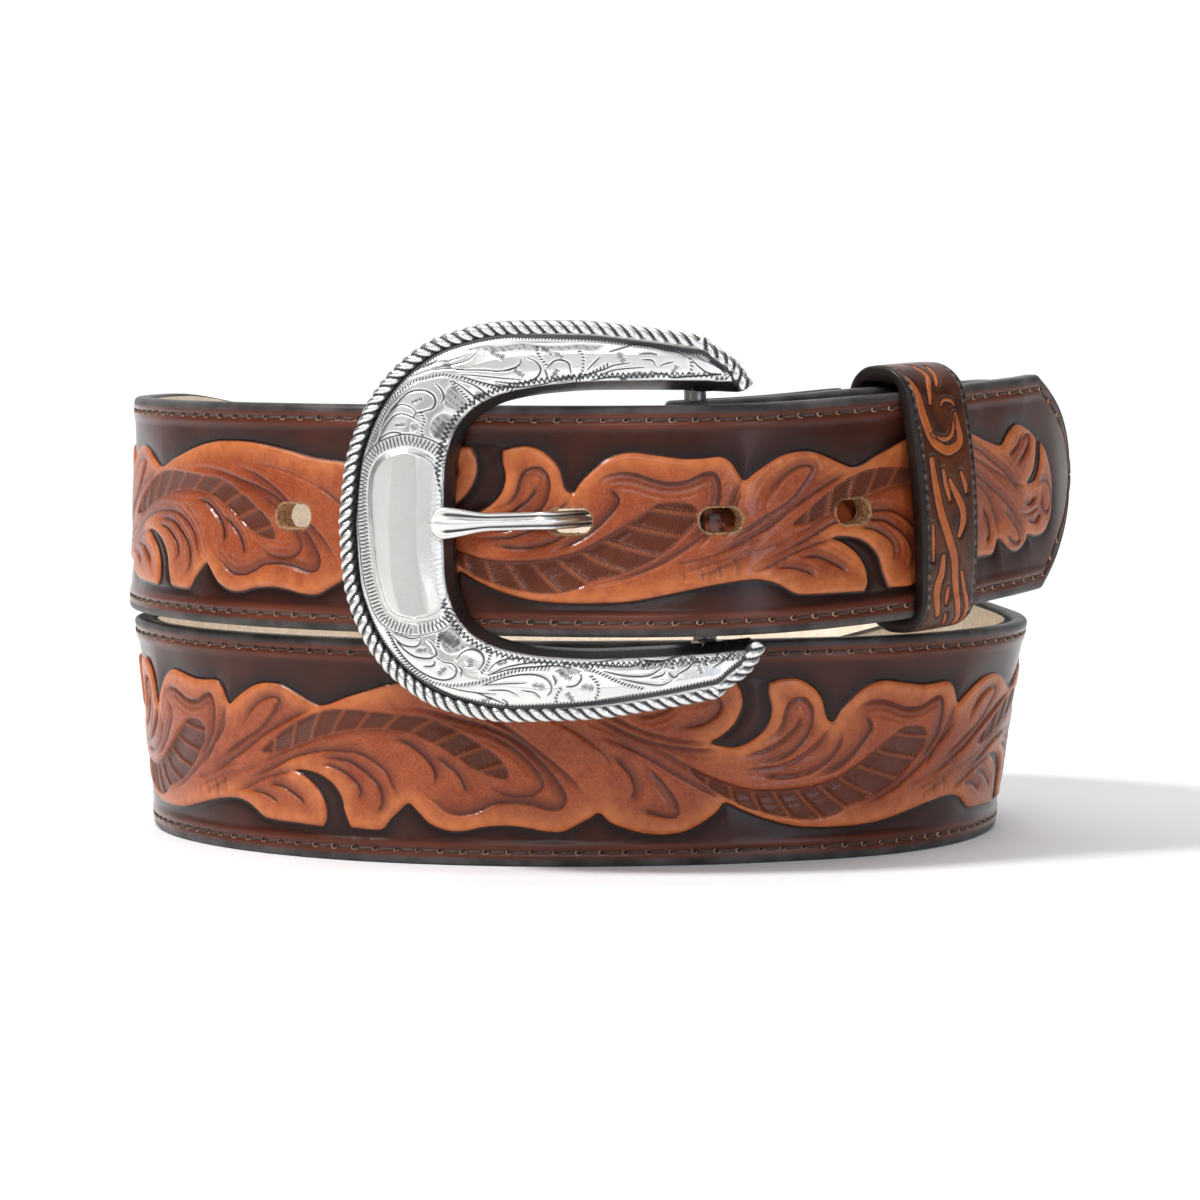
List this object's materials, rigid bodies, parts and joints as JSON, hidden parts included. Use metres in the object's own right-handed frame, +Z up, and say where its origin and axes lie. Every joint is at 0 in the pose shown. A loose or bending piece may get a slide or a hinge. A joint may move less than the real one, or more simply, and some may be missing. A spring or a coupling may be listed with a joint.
{
  "type": "western tooled belt",
  "caption": "Buckled western belt wound into two stacked turns, with a tooled leather strap, suede lining, leather keeper, C-shaped engraved buckle and tongue.",
  "frame": {"origin": "on the surface that the belt stands on, under the middle of the whole belt's box", "axes": "+Z up from the lower edge of the coil, the buckle faces -Y, +X to the right as seen from the buckle's side"},
  "size_m": [0.1706, 0.1528, 0.0918],
  "materials": {
    "tooled_leather": "glossy antiqued leather, tan leaves on dark brown ground",
    "suede": "matt tan suede",
    "keeper_leather": "glossy dark leather with orange scrolls",
    "engraved_silver": "polished silver with dark oxidised engraving",
    "polished_silver": "polished silver"
  },
  "bodies": {
    "root": {"strap_face": "tooled_leather", "strap_lining": "suede", "keeper": "keeper_leather", "buckle_frame": "engraved_silver", "buckle_tongue": "polished_silver"}
  },
  "joints": []
}
